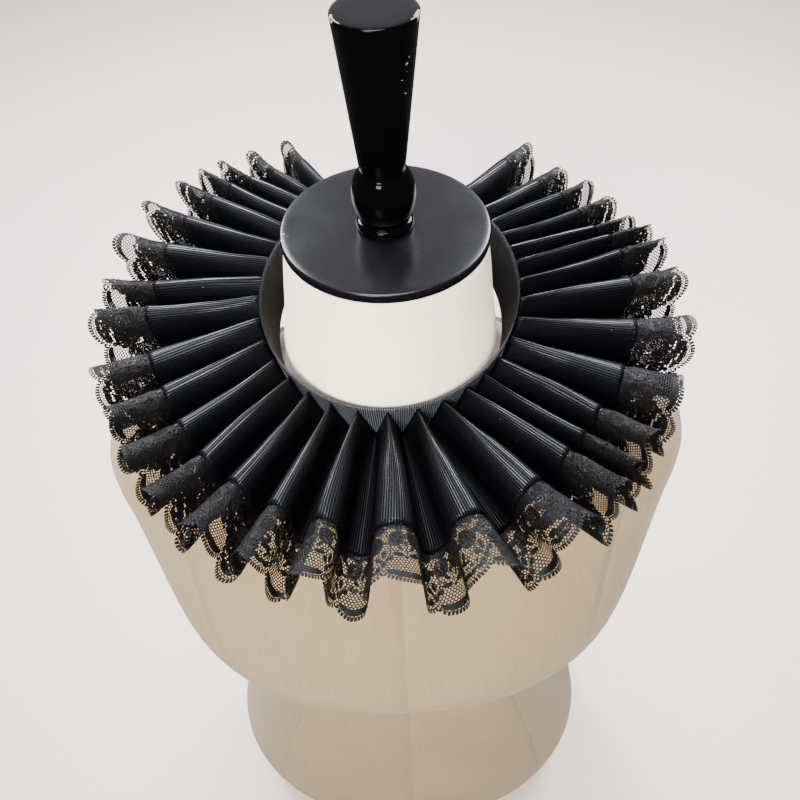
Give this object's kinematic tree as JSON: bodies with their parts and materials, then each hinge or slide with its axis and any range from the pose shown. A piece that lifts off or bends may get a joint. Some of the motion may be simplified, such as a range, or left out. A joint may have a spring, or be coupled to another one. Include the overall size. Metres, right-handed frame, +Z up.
{
  "type": "pleated ribbon ruff collar with lace edging on a limbless dress form",
  "caption": "Black pleated ribbon ruff with scalloped lace edging, open at the back, worn on a limbless linen dress form with a turned neck knob.",
  "frame": {"origin": "middle of the dress form's flat underside", "axes": "+Z up, -Y towards the front of the collar, +X towards the wearer's left"},
  "size_m": [0.382, 0.3248, 0.7945],
  "materials": {
    "ribbon": "ribbed grosgrain with a soft sheen",
    "lace": "fine net with denser motifs",
    "band": "ribbed grosgrain",
    "snap": "dark satin",
    "linen": "plain-woven linen, matt",
    "lacquer": "black gloss lacquer, worn at the edges"
  },
  "bodies": {
    "root": {"pleated_ribbon": "ribbon", "lace_edging": "lace", "neckband": "band", "closure_tab": "band", "snap_upper": "snap", "snap_lower": "snap", "form_body": "linen", "neck_cap": "lacquer", "finial": "lacquer"}
  },
  "joints": []
}
